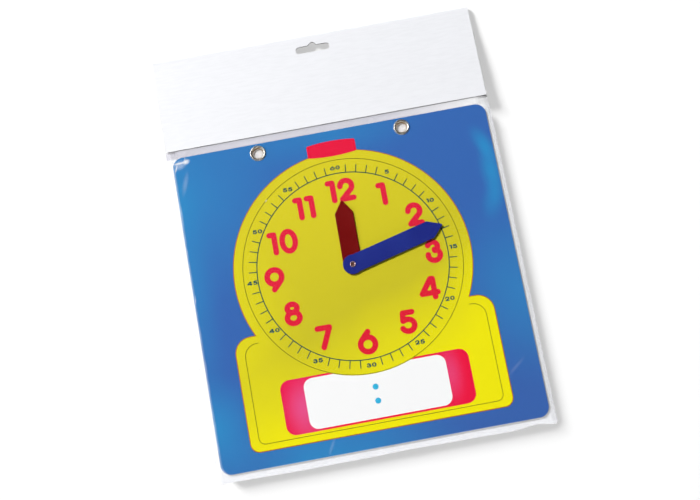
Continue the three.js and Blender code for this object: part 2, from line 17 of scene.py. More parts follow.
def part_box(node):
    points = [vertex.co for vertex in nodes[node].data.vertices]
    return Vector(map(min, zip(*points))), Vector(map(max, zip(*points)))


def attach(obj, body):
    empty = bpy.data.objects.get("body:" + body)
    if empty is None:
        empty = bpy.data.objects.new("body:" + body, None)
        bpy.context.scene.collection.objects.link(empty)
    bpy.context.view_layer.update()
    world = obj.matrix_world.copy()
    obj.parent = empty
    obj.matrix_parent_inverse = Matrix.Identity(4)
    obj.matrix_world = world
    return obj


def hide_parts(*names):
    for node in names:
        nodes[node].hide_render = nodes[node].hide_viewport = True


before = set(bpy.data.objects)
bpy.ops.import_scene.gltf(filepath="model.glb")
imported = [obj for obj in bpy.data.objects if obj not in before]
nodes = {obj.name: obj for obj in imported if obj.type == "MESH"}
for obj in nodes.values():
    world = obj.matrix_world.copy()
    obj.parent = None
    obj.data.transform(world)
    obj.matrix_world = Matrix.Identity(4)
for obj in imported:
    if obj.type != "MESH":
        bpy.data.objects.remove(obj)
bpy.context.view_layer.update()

millimetre = 0.001
scene = bpy.context.scene

# %% [markdown]
# ## Working by hand, in code
# Every new piece is made as a modeller makes it at the screen: a primitive is added, shaped in edit
# mode, and finished with modifiers. An operator acts on whatever is selected, so the first helper
# selects one piece alone. Finishing a piece puts its place into its mesh, so that its object sits
# at the origin, like the nodes of the frame.

# %% Helpers for pieces
weld_distance = 0.002 * millimetre


def select_only(piece):
    if bpy.context.object and bpy.context.object.mode != "OBJECT":
        bpy.ops.object.mode_set(mode="OBJECT")
    bpy.ops.object.select_all(action="DESELECT")
    piece.select_set(True)
    bpy.context.view_layer.objects.active = piece


def edit_all(piece):
    """Opens a piece in edit mode with everything selected."""
    select_only(piece)
    bpy.ops.object.mode_set(mode="EDIT")
    bpy.ops.mesh.select_all(action="SELECT")


def finish_mesh(piece, smooth_degrees):
    """Welds doubles, turns the faces outwards, smooths gentle bends and settles the piece."""
    edit_all(piece)
    bpy.ops.mesh.remove_doubles(threshold=weld_distance)
    bpy.ops.mesh.normals_make_consistent(inside=False)
    select_only(piece)
    bpy.ops.object.transform_apply(location=True, rotation=True, scale=True)
    bpy.ops.object.shade_smooth_by_angle(angle=math.radians(smooth_degrees))
    print(piece.name, "has", len(piece.data.polygons), "faces")
    return piece


def apply_modifier(piece, kind, **settings):
    select_only(piece)
    modifier = piece.modifiers.new(kind.lower(), kind)
    for name, value in settings.items():
        setattr(modifier, name, value)
    bpy.ops.object.modifier_apply(modifier=modifier.name)


# %% [markdown]
# A pen is handy for outlines and turned profiles. A small plane is merged to a single point, and
# the point is extruded from place to place, which draws one edge at a time.

# %% A pen made of the extrude operator
pen_size = 1 * millimetre


def draw(name, points, closed=True):
    """Draws a line through the points and leaves it in edit mode, all selected."""
    here = Vector(points[0])
    bpy.ops.object.select_all(action="DESELECT")
    bpy.ops.mesh.primitive_plane_add(size=pen_size, location=here)
    line = bpy.context.object
    line.name = name
    bpy.ops.object.mode_set(mode="EDIT")
    bpy.ops.mesh.select_all(action="SELECT")
    bpy.ops.mesh.merge(type="CENTER")
    for point in [*points[1:], *([points[0]] if closed else [])]:
        there = Vector(point)
        bpy.ops.mesh.extrude_region_move(TRANSFORM_OT_translate={"value": there - here})
        here = there
    bpy.ops.mesh.select_all(action="SELECT")
    bpy.ops.mesh.remove_doubles(threshold=weld_distance)
    return line


def arc_points(middle, radius_across, radius_up, start, end, steps):
    """Points on an arc in a plane, in metres, from one angle to another, in degrees."""
    angles = [math.radians(start + (end - start) * i / steps) for i in range(steps + 1)]
    across, up = middle
    return [(across + radius_across * math.cos(a), up + radius_up * math.sin(a)) for a in angles]


# %% [markdown]
# ## The camera
# The photograph was taken from almost straight above with a short telephoto lens, and the clock
# lies turned a little to the left. The camera's place and directions come from fitting the board's
# four edges, so they are given in the clock's own frame.

# %% Camera
camera_place = Vector((-16.1, -223.8, 1200)) * millimetre
camera_right = Vector((0.98345, -0.17935, -0.02546)).normalized()
camera_up = Vector((0.18068, 0.96105, 0.20915)).normalized()
camera_lens = 66.86
sensor_width = 36

lens_data = bpy.data.cameras.new("studio_camera")
lens_data.sensor_width = sensor_width
lens_data.lens = camera_lens
lens_data.clip_start = 100 * millimetre
camera = bpy.data.objects.new("studio_camera", lens_data)
scene.collection.objects.link(camera)
axes = Matrix((camera_right, camera_up, camera_right.cross(camera_up))).transposed()
camera.matrix_world = Matrix.Translation(camera_place) @ axes.to_4x4()
scene.camera = camera
scene.view_settings.view_transform = "Standard"
print("camera", round(camera_place.length, 3), "m from the board's middle")

# %% [markdown]
# ## Shader nodes
# Finishes, the floor and the room are trees of shader nodes. These helpers add a node together with
# its inputs, and give the socket that most often goes on. A socket knows its own tree, so most of
# them need only sockets and numbers.

# %% Helpers for shader nodes
def wire(tree, kind, inputs=None, **settings):
    """Adds a shader node, sets its settings, and sets or links its inputs."""
    made = tree.nodes.new("ShaderNode" + kind)
    for name, value in settings.items():
        setattr(made, name, value)
    for name, value in (inputs or {}).items():
        if isinstance(value, bpy.types.NodeSocket):
            tree.links.new(value, made.inputs[name])
        else:
            made.inputs[name].default_value = value
    return made


def own_place(tree):
    """The place on a piece, in the piece's own coordinates."""
    return wire(tree, "TexCoord").outputs["Object"]


def math_node(operation, first, second=0.0):
    inputs = {0: first, 1: second}
    return wire(first.id_data, "Math", inputs, operation=operation).outputs["Value"]


def times(first, second):
    return math_node("MULTIPLY", first, second)


def plus(first, second):
    return math_node("ADD", first, second)


def vector_value(operation, first, second=(0, 0, 0)):
    """The number that comes of a vector, such as its length."""
    inputs = {0: first, 1: second}
    return wire(first.id_data, "VectorMath", inputs, operation=operation).outputs["Value"]


def spread(value, low, high, start=0.0, end=1.0, kind="LINEAR"):
    """Maps a value from start and end to low and high."""
    limits = {"From Min": start, "From Max": end, "To Min": low, "To Max": high}
    mapped = wire(value.id_data, "MapRange", {"Value": value, **limits}, interpolation_type=kind)
    return mapped.outputs["Result"]


def noise_value(place, scale, detail=2.0, roughness=0.5):
    inputs = {"Vector": place, "Scale": scale, "Detail": detail, "Roughness": roughness}
    return wire(place.id_data, "TexNoise", inputs).outputs["Fac"]


def blend(factor, first, second):
    """Mixes two colours. Gives the colour that comes out."""
    inputs = {"Factor": factor, "A": first, "B": second}
    return wire(factor.id_data, "Mix", inputs, data_type="RGBA").outputs["Result"]


def link_all(ends, **sockets):
    """Links sockets to the named ends. A space in an end's name is written as an underscore."""
    for name, socket in sockets.items():
        socket.id_data.links.new(socket, ends[name.replace("_", " ")])


def linear(code):
    """A colour written as a hex code, in the linear light that shaders use."""
    red, green, blue = (int(code[i : i + 2], 16) / 255 for i in (1, 3, 5))
    return (*Color((red, green, blue)).from_srgb_to_scene_linear(), 1)


def new_material(name):
    material = bpy.data.materials.new(name)
    material.use_nodes = True
    tree = material.node_tree
    return material, tree, tree.nodes["Principled BSDF"]


# %% [markdown]
# ## Floor, room and lamps
# The clock lies on a plain white sweep. Clear film shows whatever it mirrors, so a photographer
# keeps the ceiling dark where the camera looks straight down into the film, and lets the walls near
# the floor glow. The room does the same: white at the horizon, most of all on the left where the
# window would be, and dark overhead.

# %% Floor
floor_side = 8000 * millimetre
floor_steps = 4
floor_drop = 0.05 * millimetre
sweep_seen = linear("#f3f3f3")
sweep_bounced = linear("#c6c6c4")
sweep_grain_scale = 60
least_sweep_roughness = 0.8

bpy.ops.object.select_all(action="DESELECT")
bpy.ops.mesh.primitive_grid_add(
    x_subdivisions=floor_steps,
    y_subdivisions=floor_steps,
    size=floor_side,
    location=(0, 0, -floor_drop),
)
floor = bpy.context.object
floor.name = "white_sweep"

sweep, tree, shader = new_material("white_sweep")
bounced = wire(tree, "LightPath").outputs["Is Diffuse Ray"]
tint = blend(bounced, sweep_seen, sweep_bounced)
grain = noise_value(own_place(tree), sweep_grain_scale)
rough = spread(grain, least_sweep_roughness, 1)
link_all(shader.inputs, Base_Color=tint, Roughness=rough)
shader.inputs["Specular IOR Level"].default_value = 0
floor.data.materials.append(sweep)
print("floor", floor_side, "m across")

# %% Room
horizon_strength = 0.8
ceiling_strength = 0.02
horizon_top = 0.15
ceiling_start = 0.5
bright_side_shares = (-0.95, -0.3, 0)
dim_side_share = 0.1
bright_side_share = 2.0
room = bpy.data.worlds.new("studio_room")
room.use_nodes = True
scene.world = room
tree = room.node_tree
way = wire(tree, "TexCoord").outputs["Generated"]
height = wire(tree, "SeparateXYZ", {"Vector": way}).outputs["Z"]
strengths = (horizon_strength, ceiling_strength)
glow = spread(height, *strengths, horizon_top, ceiling_start, "SMOOTHSTEP")
side = vector_value("DOT_PRODUCT", way, bright_side_shares)
side_share = spread(side, dim_side_share, bright_side_share, start=-1)
backdrop = tree.nodes["Background"]
backdrop.inputs["Color"].default_value = (1, 1, 1, 1)
link_all(backdrop.inputs, Strength=times(glow, side_share))
print("room glows from", horizon_strength, "at the horizon to", ceiling_strength, "overhead")

# %% [markdown]
# Each softbox is given by its direction, its size and the share of the light that it brings to a
# white card lying on the floor. The lamp's power follows from that share: a card under a lamp of
# P watts at distance d looks as bright as P sin(elevation) / (pi² d²). The key stands at the upper
# left and gives the hands their narrow dark shadow. Flags keep it off the sweep. Two more lamps are
# flagged the other way and light the sweep alone: a low strip, whose long soft shadow lies to the
# right of and below the bag, and a panel overhead.
#
# The key is two lamps in one place. One gives only matt light. The other gives only mirrored light
# and is kept off the film. A lamp that the film mirrors whitens half of the clock when it is seen
# from the side across from that lamp, so the strip on the left gives only matt light as well.

# %% Softboxes
# Name, direction from +Y turning to +X and elevation in degrees, distance, width and height in
# metres, share
softboxes = [
    ("key_softbox", -48, 54, 9.0, 1.5, 1.5, 0.86),
    ("key_glint", -48, 54, 9.0, 1.5, 1.5, 0.86),
    ("left_strip", -100, 26, 8.0, 4.6, 1.0, 0.07),
    ("front_softbox", 175, 32, 9.0, 4.4, 2.0, 0.03),
    ("ground_strip", -37, 9.5, 10.0, 3.0, 1.2, 0.5),
    ("ground_panel", 140, 84, 9.0, 3.0, 3.0, 0.58),
]
matt_lamps = ("key_softbox", "left_strip")
ground_only = bpy.data.collections.new("ground_only")
all_but_ground = bpy.data.collections.new("all_but_ground")
glint_takers = bpy.data.collections.new("all_but_ground_and_film")
for takers in (ground_only, all_but_ground, glint_takers):
    takers.objects.link(floor)
all_but_ground.collection_objects[0].light_linking.link_state = "EXCLUDE"
for name, bearing, elevation, distance, width, depth, share in softboxes:
    lamp = bpy.data.lights.new(name, "AREA")
    lamp.shape = "RECTANGLE"
    lamp.size = width
    lamp.size_y = depth
    rise = math.sin(math.radians(elevation))
    lamp.energy = share * math.pi**2 * distance**2 / rise
    holder = bpy.data.objects.new(name, lamp)
    scene.collection.objects.link(holder)
    reach = math.cos(math.radians(elevation))
    turn = math.radians(bearing)
    towards = Vector((math.sin(turn) * reach, math.cos(turn) * reach, rise))
    holder.location = towards * distance
    holder.rotation_mode = "QUATERNION"
    holder.rotation_quaternion = towards.to_track_quat("Z", "Y")
    holder.visible_camera = False
    for_ground = name.startswith("ground")
    holder.light_linking.receiver_collection = ground_only if for_ground else all_but_ground
    holder.visible_glossy = not for_ground and name not in matt_lamps
    holder.visible_transmission = name not in matt_lamps
    if name == "key_glint":
        holder.visible_diffuse = False
        holder.light_linking.receiver_collection = glint_takers
    print(name, round(lamp.energy, 1), "W")

# %% [markdown]
# ## Effects that many finishes share
# Real surfaces are never one flat value. Printed sheets carry painted light: their ink is lighter
# on one side and darker on the other, where the light and the film's glare fall. Laminating film
# has the faint ripple of the press roller and some rubs, moulded plastic has a fine grain, card
# shows its fibres, and plated metal has small knocks, and tarnish with painted shade down its
# barrel. Each effect is a node group that reads the piece's own coordinates, and each material sets
# its strength.


# %% Helpers for node groups
def new_group(name, inputs, outputs):
    """A shader node group with named sockets, and its entry and exit nodes."""
    group = bpy.data.node_groups.new(name, "ShaderNodeTree")
    for socket_name, value in inputs.items():
        kind = "NodeSocketFloat" if isinstance(value, (int, float)) else "NodeSocketColor"
        socket = group.interface.new_socket(socket_name, in_out="INPUT", socket_type=kind)
        socket.default_value = value
    for socket_name, kind in outputs.items():
        group.interface.new_socket(socket_name, in_out="OUTPUT", socket_type="NodeSocket" + kind)
    entry = group.nodes.new("NodeGroupInput").outputs
    leave = group.nodes.new("NodeGroupOutput").inputs
    return group, entry, leave


def use_group(tree, group, inputs):
    """Places a node group in a material with its own values."""
    placed = wire(tree, "Group", node_tree=group)
    for name, value in inputs.items():
        placed.inputs[name].default_value = value
    return placed.outputs


# %% Painted light and mottle: three lit shades of one ink, changing slowly down the sheet, and a press mottle
drift_direction_shares = (0.35, -0.94, 0)
drift_start = -100 * millimetre
drift_middle = 20 * millimetre
drift_end = 100 * millimetre
drift_cloud_scale = 12
mottle_scale = 260
white = (1, 1, 1, 1)
painted_light_and_mottle, entry, leave = new_group(
    "painted_light_and_mottle",
    {"Near Lit Ink": white, "Middle Lit Ink": white, "Far Lit Ink": white, "Cloud": 0.02, "Mottle": 0.04},
    {"Color": "Color"},
)
place = own_place(painted_light_and_mottle)
# The slow change along this direction is painted light: the ink runs lighter and darker where the
# light and the film's glare fall.
along = vector_value("DOT_PRODUCT", place, drift_direction_shares)
cloud = spread(noise_value(place, drift_cloud_scale, 3), -1, 1)
clouded = plus(along, times(cloud, entry["Cloud"]))
first_half = spread(clouded, 0, 1, drift_start, drift_middle)
second_half = spread(clouded, 0, 1, drift_middle, drift_end)
inks = blend(first_half, entry["Near Lit Ink"], entry["Middle Lit Ink"])
inks = blend(second_half, inks, entry["Far Lit Ink"])
speck = spread(noise_value(place, mottle_scale, 4, 0.7), -1, 1)
bright = plus(times(speck, entry["Mottle"]), 1)
shaded = wire(painted_light_and_mottle, "HueSaturation", {"Color": inks, "Value": bright})
link_all(leave, Color=shaded.outputs["Color"])
print("painted_light_and_mottle has", len(painted_light_and_mottle.nodes), "nodes")

# %% Laminate gloss: roller ripple, orange peel, fine rubs and dust
ripple_scale = 28
peel_scale = 170
peel_share = 0.12
rub_turn = math.radians(24)
rub_stretch_shares = (1, 0.04, 1)
rub_scale = 420
rub_limits = (0.55, 0.8)
dust_scale = 190
dust_limits = (0.05, 0.09)
laminate_gloss, entry, leave = new_group(
    "laminate_gloss",
    {"Roughness": 0.13, "Rub": 0.08, "Dust": 0.3},
    {"Roughness": "Float", "Height": "Float"},
)
place = own_place(laminate_gloss)
peel = times(noise_value(place, peel_scale), peel_share)
relief = plus(noise_value(place, ripple_scale, 1), peel)
stretched = wire(
    laminate_gloss,
    "Mapping",
    {"Vector": place, "Rotation": (0, 0, rub_turn), "Scale": rub_stretch_shares},
).outputs["Vector"]
rubs = spread(noise_value(stretched, rub_scale, 3, 0.7), 0, 1, *rub_limits)
cells = wire(laminate_gloss, "TexVoronoi", {"Vector": place, "Scale": dust_scale})
grit = spread(cells.outputs["Distance"], 1, 0, *dust_limits)
worn = plus(times(rubs, entry["Rub"]), times(grit, entry["Dust"]))
rough = wire(laminate_gloss, "Math", {0: entry["Roughness"], 1: worn}, use_clamp=True)
link_all(leave, Roughness=rough.outputs[0], Height=relief)
print("laminate_gloss has", len(laminate_gloss.nodes), "nodes")

# %% Moulded grain: the sparked texture and flow marks of a moulded part
grain_scale = 900
flow_scale = 22
flow_limits = (0.35, 0.7)
flow_roughness = 0.12
moulded_grain, entry, leave = new_group(
    "moulded_grain",
    {"Shade": white, "Pale Shade": white, "Roughness": 0.36},
    {"Color": "Color", "Roughness": "Float", "Height": "Float"},
)
place = own_place(moulded_grain)
flow = spread(noise_value(place, flow_scale), 0, 1, *flow_limits)
link_all(
    leave,
    Color=blend(flow, entry["Shade"], entry["Pale Shade"]),
    Roughness=plus(entry["Roughness"], times(flow, flow_roughness)),
    Height=noise_value(place, grain_scale, 2, 0.6),
)
print("moulded_grain has", len(moulded_grain.nodes), "nodes")

# %% Card fibre: short fibres that lie along the sheet
fibre_stretch_shares = (0.16, 1, 6)
fibre_limits = (0.35, 0.7)
card_fibre, entry, leave = new_group(
    "card_fibre",
    {"Shade": white, "Dark Shade": white, "Scale": 700.0},
    {"Color": "Color", "Height": "Float"},
)
place = own_place(card_fibre)
laid = wire(card_fibre, "Mapping", {"Vector": place, "Scale": fibre_stretch_shares})
fibres = noise_value(laid.outputs["Vector"], entry["Scale"], 4)
fibres = spread(fibres, 0, 1, *fibre_limits)
shade = blend(fibres, entry["Shade"], entry["Dark Shade"])
link_all(leave, Color=shade, Height=fibres)
print("card_fibre has", len(card_fibre.nodes), "nodes")

# %% Plated metal: small knocks, and tarnish with painted shade down inside the barrel
knock_scale = 480
tarnish_and_shade_scale = 210
tarnish_and_shade_ragged = 0.6 * millimetre
tarnish_and_shade_fade = 0.9 * millimetre
tarnish_and_shade_roughness = 0.3
blotch_roughness = 0.16
least_bare_share = 0.1
plated_metal, entry, leave = new_group(
    "plated_metal",
    {"Plate": white, "Tarnish And Shade": white, "Tarnish And Shade Top": 0.0, "Roughness": 0.2},
    {"Color": "Color", "Roughness": "Float", "Bare": "Float", "Height": "Float"},
)
place = own_place(plated_metal)
level = wire(plated_metal, "SeparateXYZ", {"Vector": place}).outputs["Z"]
# Below the top height the plate turns to the tarnish-and-shade colour: brass where the plate is
# thin, and painted shade of the deep barrel.
blotch = noise_value(place, tarnish_and_shade_scale, 3)
lifted = plus(level, spread(blotch, -tarnish_and_shade_ragged, tarnish_and_shade_ragged))
below = math_node("SUBTRACT", entry["Tarnish And Shade Top"], lifted)
inside = spread(below, 0, 1, 0, tarnish_and_shade_fade)
dulled = plus(times(blotch, blotch_roughness), spread(inside, 0, tarnish_and_shade_roughness))
link_all(
    leave,
    Color=blend(inside, entry["Plate"], entry["Tarnish And Shade"]),
    Roughness=plus(entry["Roughness"], dulled),
    Bare=spread(inside, 1, least_bare_share),
    Height=noise_value(place, knock_scale, 3, 0.7),
)
print("plated_metal has", len(plated_metal.nodes), "nodes")


# %% [markdown]
# ## Finishes
# Printed parts are ink under one gloss laminate. Each finish has three shades of its ink, as the
# print looks at the sheet's upper left, in its middle and at its lower right, where it is warmer
# and stronger. The change between them is painted light and glare from the film. Soft patches then
# add
# one more colour: painted glare on the blue, painted light on the yellow, and paler pink on the
# window frame.


# %% Printed and laminated finishes
laminate_ripple_depth = 0.05 * millimetre
laminate_strength = 0.35


def add_bump(shader, height, distance, strength):
    inputs = {"Height": height, "Distance": distance, "Strength": strength}
    bump = wire(height.id_data, "Bump", inputs)
    link_all(shader.inputs, Normal=bump.outputs["Normal"])


def laminated(name, near, middle, far, roughness=0.13, mottle=0.04):
    material, tree, shader = new_material(name)
    inks = {"Near Lit Ink": linear(near), "Middle Lit Ink": linear(middle), "Far Lit Ink": linear(far)}
    ink = use_group(tree, painted_light_and_mottle, {**inks, "Mottle": mottle})
    gloss = use_group(tree, laminate_gloss, {"Roughness": roughness})
    link_all(shader.inputs, Base_Color=ink["Color"], Roughness=gloss["Roughness"])
    add_bump(shader, gloss["Height"], laminate_ripple_depth, laminate_strength)
    return material


# Near, middle and far shade of the ink, which differ by painted light, then roughness and mottle
# where they aren't the usual ones
inks_with_painted_light = {
    "blue_laminate": ("#3b6bb6", "#3a68b4", "#3d66b0"),
    "white_laminate": ("#f4f4f2", "#f2f2ee", "#eeeeea", 0.2, 0.015),
    "orange_print": ("#b9762a", "#b96c24", "#b5661f"),
    "yellow_print": ("#ded12a", "#cfc42a", "#f6ec12", 0.13, 0.02),
    "bell_print": ("#ee1f44", "#ee1f44", "#ee1f44"),
    "numeral_print": ("#e82a46", "#e4243c", "#e62434"),
    "window_print": ("#f01c5c", "#f01c56", "#f21a44"),
    "white_print": ("#fbfbfd", "#ffffff", "#ffffff", 0.1, 0.01),
    "cyan_print": ("#3ac0e6", "#3abee4", "#3ab6e2"),
    "teal_print": ("#0b4e4e", "#0b4e4e", "#0b4c4c"),
    "rim_line_print": ("#4e5020", "#4c4e20", "#4a4c1e"),
    "minute_print": ("#14505a", "#14505a", "#145054"),
}
finishes = {name: laminated(name, *recipe) for name, recipe in inks_with_painted_light.items()}
print(len(finishes), "printed finishes")

# %% Soft patches of one more colour: painted glare, painted light and paler pink
wash_wisp_scale = 16
wash_wisp = 0.3


def patches(place, table):
    """A soft mask of ellipses: middle and half sizes in millimetres, turn in degrees, share."""
    total = 0
    for (across, up), (half_across, half_up), turn, share in table:
        ellipse = {
            "Vector": place,
            "Location": (across * millimetre, up * millimetre, 0),
            "Rotation": (0, 0, math.radians(turn)),
            "Scale": (half_across * millimetre, half_up * millimetre, 1),
        }
        moved = wire(place.id_data, "Mapping", ellipse, vector_type="TEXTURE").outputs["Vector"]
        patch = spread(vector_value("LENGTH", moved), 0, share, 1, 0, "SMOOTHSTEP")
        total = plus(patch, total)
    return total


def add_wash(material, ink, washes):
    """Mixes one more colour into a finish, in soft patches."""
    tree = material.node_tree
    shader = tree.nodes["Principled BSDF"]
    under = shader.inputs["Base Color"].links[0].from_socket
    place = own_place(tree)
    wisp = spread(noise_value(place, wash_wisp_scale, 3), 1 - wash_wisp, 1 + wash_wisp)
    factor = times(patches(place, washes), wisp)
    link_all(shader.inputs, Base_Color=blend(factor, under, linear(ink)))


# Painted glare: pale cyan patches on the blue where the film mirrors the light, largest at the
# upper left.
blue_painted_glare = [
    ((-158, 130), (150, 150), 0, 0.52),
    ((-154, 20), (30, 160), 0, 0.35),
    ((-150, -110), (50, 60), 0, 0.65),
    ((-50, -152), (140, 50), 0, 0.66),
    ((143, 114), (24, 11), 112, 0.6),
    ((146, 84), (40, 14), 92, 0.7),
    ((141, 56), (24, 13), 73, 0.45),
    ((150, -30), (75, 105), 0, 0.45),
    ((0, 152), (110, 40), 0, 0.45),
]
# Painted light: stronger yellow where more light falls, on the lower right and down the left.
yellow_painted_light = [
    ((135, -25), (72, 92), 0, 0.75),
    ((-90, -140), (90, 45), 0, 0.4),
    ((-115, -40), (70, 150), 0, 0.45),
]
window_washes = [
    ((-67, -106), (26, 42), 0, 0.8),
    ((70, -98), (16, 34), 0, 0.5),
]
add_wash(finishes["blue_laminate"], "#3097d0", blue_painted_glare)
add_wash(finishes["yellow_print"], "#f6ec12", yellow_painted_light)
add_wash(finishes["window_print"], "#ea5c98", window_washes)
print(len(blue_painted_glare) + len(yellow_painted_light) + len(window_washes), "washes")

# %% [markdown]
# The hands are plastic, coloured right through, with a satin face. The board's core is grey
# chipboard, made of pressed paper pulp, so its cut edge shows fibres. The eyelets and the rivet are
# nickel plate over brass: bright outside, and browner and darker down in the barrel, partly brass
# where the plate is thin and partly painted shade of the deep hole.


# %% Moulded, paper and metal finishes
grain_depth = 0.012 * millimetre
grain_strength = 0.5
fibre_strength = 0.6
knock_depth = 0.01 * millimetre
knock_strength = 0.4
moulded_shine = 0.25


def moulded(name, shade, pale, roughness):
    material, tree, shader = new_material(name)
    shades = {"Shade": linear(shade), "Pale Shade": linear(pale)}
    grain = use_group(tree, moulded_grain, {**shades, "Roughness": roughness})
    link_all(shader.inputs, Base_Color=grain["Color"], Roughness=grain["Roughness"])
    shader.inputs["Specular IOR Level"].default_value = moulded_shine
    add_bump(shader, grain["Height"], grain_depth, grain_strength)
    return material


def fibrous(name, shade, dark, roughness, scale, depth):
    material, tree, shader = new_material(name)
    shades = {"Shade": linear(shade), "Dark Shade": linear(dark)}
    fibre = use_group(tree, card_fibre, {**shades, "Scale": scale})
    link_all(shader.inputs, Base_Color=fibre["Color"])
    shader.inputs["Roughness"].default_value = roughness
    add_bump(shader, fibre["Height"], depth * millimetre, fibre_strength)
    return material


def plated(name, plate, tarnish_and_shade, roughness, tarnish_and_shade_top):
    material, tree, shader = new_material(name)
    shades = {"Plate": linear(plate), "Tarnish And Shade": linear(tarnish_and_shade)}
    levels = {"Roughness": roughness, "Tarnish And Shade Top": tarnish_and_shade_top * millimetre}
    metal = use_group(tree, plated_metal, {**shades, **levels})
    link_all(shader.inputs, Base_Color=metal["Color"], Roughness=metal["Roughness"])
    link_all(shader.inputs, Metallic=metal["Bare"])
    add_bump(shader, metal["Height"], knock_depth, knock_strength)
    return material


# Shade, pale or dark shade, roughness. Fibrous: also the fibres' scale and depth in millimetres.
# Plated: also the height in millimetres below which the plate gets tarnish and painted shade.
recipes = {
    "red_plastic": (moulded, "#6c0606", "#7a0808", 0.16),
    "blue_plastic": (moulded, "#202a80", "#22328a", 0.16),
    "fibre_washer": (moulded, "#e6e2da", "#f2eee6", 0.6),
    "tape": (moulded, "#e4e2d8", "#efeee6", 0.5),
    "chipboard": (fibrous, "#b9ab8f", "#8f8168", 0.95, 900, 0.05),
    "white_card": (fibrous, "#ecedf1", "#e8e9ed", 0.42, 500, 0.004),
    "card_edge": (fibrous, "#b4b0a8", "#8d8981", 0.9, 1200, 0.02),
    # Down the barrels the plate is browner and darker: brass where the plate is thin, and painted
    # shade of the hole.
    "nickel": (plated, "#ece8de", "#b8955e", 0.18, 4.0),
    "rivet_nickel": (plated, "#c8acb6", "#5a2810", 0.26, 7.1),
    "back_nickel": (plated, "#cfcbc0", "#b9b4a8", 0.3, 0),
}
for name, (make, *recipe) in recipes.items():
    finishes[name] = make(name, *recipe)
print(len(finishes), "finishes")

# %% [markdown]
# ## Dressing the nodes that stay
# A printed area, a sheet or a washer already has its right shape, so its node stays and only its
# material changes.

# %% Materials on the frame's own nodes
numeral_nodes = sorted(name for name in nodes if name.startswith("numeral_"))
node_finishes = {
    "board_core": "chipboard",
    "front_sheet": "blue_laminate",
    "back_sheet": "white_laminate",
    "clock_outline_print": "orange_print",
    "clock_body_print": "yellow_print",
    "bell_button_print": "bell_print",
    "minute_track_print": "teal_print",
    "dial_rim_line_print": "rim_line_print",
    "base_line_print": "rim_line_print",
    "window_frame_print": "window_print",
    "write_on_panel_print": "white_print",
    "colon_dot_upper_print": "cyan_print",
    "colon_dot_lower_print": "cyan_print",
    "pivot_washer_lower": "fibre_washer",
    "pivot_washer_upper": "fibre_washer",
    "pivot_washer_back": "back_nickel",
    "eyelet_washer_left": "back_nickel",
    "eyelet_washer_right": "back_nickel",
    "header_tape": "tape",
    **{name: "numeral_print" for name in numeral_nodes},
}


def dress(piece, *names):
    piece.data.materials.clear()
    for name in names:
        piece.data.materials.append(finishes[name])


for name, finish in node_finishes.items():
    dress(nodes[name], finish)
print(len(node_finishes), "nodes dressed")

# %% [markdown]
# ## Minute numerals
# The small numerals every five minutes are the same rounded digits as the hour numerals, 4 mm high
# and drawn a little wide. The hour digits are already modelled, so each small digit is a welded,
# scaled copy of one, set between the rim line and the ring of minute ticks.

# %% Small digits from the large ones
minute_digit_height = 4 * millimetre
minute_digit_widening = 1.45
minute_digit_gap = 0.7 * millimetre
minute_circle_radius = 96 * millimetre
minutes_apart = 5
minutes_round = 60
digit_sources = {str(d): f"numeral_{d}" for d in range(1, 10)}
digit_sources["0"] = "numeral_10_units"

pivot_low, pivot_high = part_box("pivot_rivet")
pivot = (pivot_low + pivot_high) / 2
ink_low, ink_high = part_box("minute_track_print")


def welded_copy(name, source):
    """A new piece with a copy of a node's mesh, its loose triangles welded together."""
    copied = bpy.data.objects.new(name, nodes[source].data.copy())
    scene.collection.objects.link(copied)
    copied.data.materials.clear()
    edit_all(copied)
    bpy.ops.mesh.remove_doubles(threshold=weld_distance)
    bpy.ops.object.mode_set(mode="OBJECT")
    return copied


def small_digit(character, left):
    """One digit with its left edge at left. Gives the piece and its width."""
    digit = welded_copy("digit", digit_sources[character])
    low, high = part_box(digit_sources[character])
    size = high - low
    scale_up = minute_digit_height / size.y
    scale_across = scale_up * minute_digit_widening
    width = size.x * scale_across
    middle = (low + high) / 2
    digit.data.transform(Matrix.Translation(-middle))
    digit.data.transform(Matrix.Diagonal((scale_across, scale_up, 1, 1)))
    digit.data.transform(Matrix.Translation((left + width / 2, 0, 0)))
    return digit, width


for minute in range(minutes_apart, minutes_round + 1, minutes_apart):
    digits = []
    right = 0
    for character in str(minute):
        digit, width = small_digit(character, right)
        digits.append(digit)
        right += width + minute_digit_gap
    select_only(digits[0])
    for digit in digits:
        digit.select_set(True)
    if len(digits) > 1:
        bpy.ops.object.join()
    numeral = bpy.context.object
    numeral.name = f"minute_numeral_{minute:02d}"
    turn = math.tau * minute / minutes_round
    middle = pivot + minute_circle_radius * Vector((math.sin(turn), math.cos(turn), 0))
    half_number = (right - minute_digit_gap) / 2
    ink_middle = (ink_low.z + ink_high.z) / 2
    numeral.data.transform(Matrix.Translation((middle.x - half_number, middle.y, ink_middle)))
    dress(numeral, "minute_print")
    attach(numeral, "board")
print(minutes_round // minutes_apart, "minute numerals at", minute_circle_radius, "m")

# %% [markdown]
# ## Hands
# Each hand is die-cut from thick sheet, so its outline in the frame is right, but a real edge is
# never perfectly sharp. A welded copy gets its flat faces dissolved back to whole ones, and the
# edges round its face and back are bevelled. Weighted normals keep the wide faces flat to the eye.

